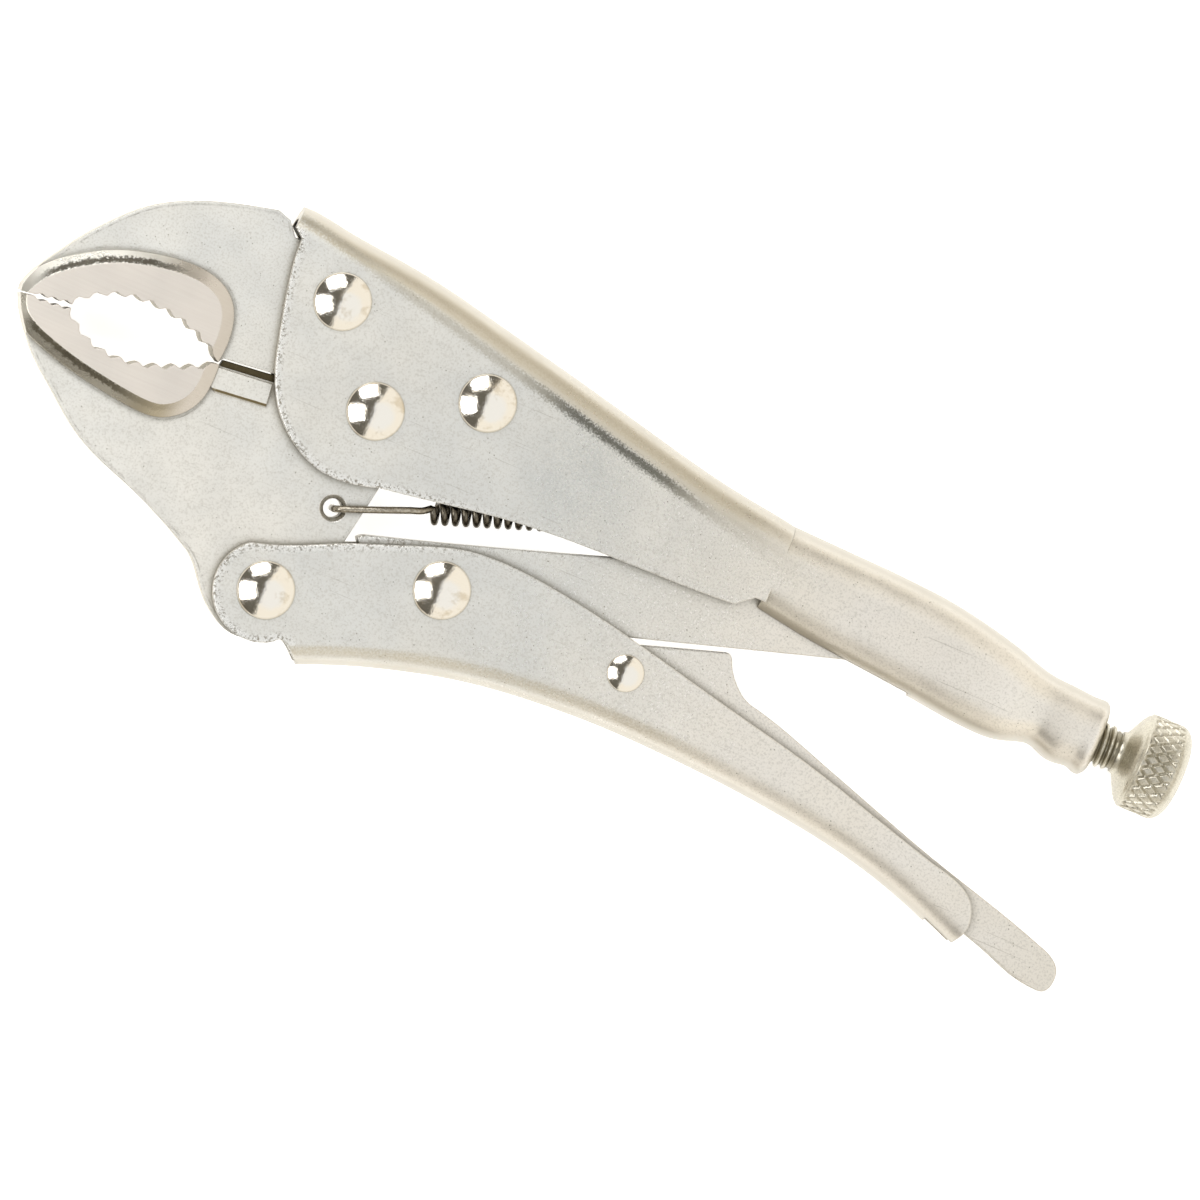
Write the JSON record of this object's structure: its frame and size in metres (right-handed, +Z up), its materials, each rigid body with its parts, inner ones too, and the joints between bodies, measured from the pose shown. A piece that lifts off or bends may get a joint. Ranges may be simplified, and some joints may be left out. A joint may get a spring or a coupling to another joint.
{
  "type": "locking pliers",
  "caption": "Curved-jaw locking pliers in nickel-plated steel, locked shut: pressed channel handles, toggle link, return spring, release lever and knurled adjusting screw.",
  "frame": {"origin": "centre of the locked pliers' outline, on the surface they lie on", "axes": "+X rearwards along the adjusting screw, +Y towards the back of the upper handle, +Z up through the flat of the pliers"},
  "size_m": [0.2212, 0.0756, 0.0174],
  "materials": {
    "nickel_pressing": "satin nickel plate over pressed sheet steel",
    "nickel_forging": "satin nickel plate over forged steel, grip lands ground flat",
    "rivet_steel": "polished nickel plate",
    "screw_steel": "dull zinc-nickel plate, knurled",
    "spring_steel": "oiled spring wire"
  },
  "bodies": {
    "frame": {"upper_handle": "nickel_pressing", "fixed_jaw": "nickel_forging", "fixed_jaw_rivet_front": "rivet_steel", "fixed_jaw_rivet_rear": "rivet_steel", "jaw_pivot_rivet": "rivet_steel", "return_spring": "spring_steel"},
    "jaw": {"movable_jaw": "nickel_forging"},
    "lower_handle": {"lower_handle": "nickel_pressing", "handle_pivot_rivet": "rivet_steel", "link_pivot_rivet": "rivet_steel", "lever_pivot_rivet": "rivet_steel"},
    "toggle_link": {"toggle_link": "nickel_pressing"},
    "release_lever": {"release_lever": "nickel_pressing"},
    "stop_ring": {"screw_stop_ring": "screw_steel"},
    "screw": {"adjusting_screw": "screw_steel"}
  },
  "joints": [
    {"name": "jaw_pivot", "type": "hinge", "parent": "frame", "child": "jaw", "pos_m": [-0.0454, 0.00984, 0.0087], "axis": [0, 0, 1], "range_deg": [0, 20], "deforming": ["return_spring"]},
    {"name": "handle_pivot", "type": "hinge", "parent": "jaw", "child": "lower_handle", "pos_m": [-0.0507, -0.02626, 0.0087], "axis": [0, 0, 1], "range_deg": [-67.52, 0]},
    {"name": "link_pivot", "type": "hinge", "parent": "lower_handle", "child": "toggle_link", "pos_m": [-0.0224, -0.01426, 0.0087], "axis": [0, 0, 1], "range_deg": [0, 68.4]},
    {"name": "lever_pivot", "type": "hinge", "parent": "lower_handle", "child": "release_lever", "pos_m": [0.0129, -0.01496, 0.0087], "axis": [0, 0, 1], "range_deg": [0, 2]},
    {"name": "screw_feed", "type": "slide", "parent": "frame", "child": "stop_ring", "axis": [1, 0, 0], "range_m": [0, 0.014]},
    {"name": "screw_turn", "type": "hinge", "parent": "stop_ring", "child": "screw", "pos_m": [0.0746, 0.00624, 0.0087], "axis": [1, 0, 0], "range_deg": [0, 3600]}
  ],
  "couplings": [
    {"joint": "handle_pivot", "follows": "jaw_pivot", "ratio": -3.376},
    {"joint": "link_pivot", "follows": "jaw_pivot", "ratio": 3.42},
    {"joint": "screw_turn", "follows": "screw_feed", "rad_per_m": 4487.9}
  ]
}
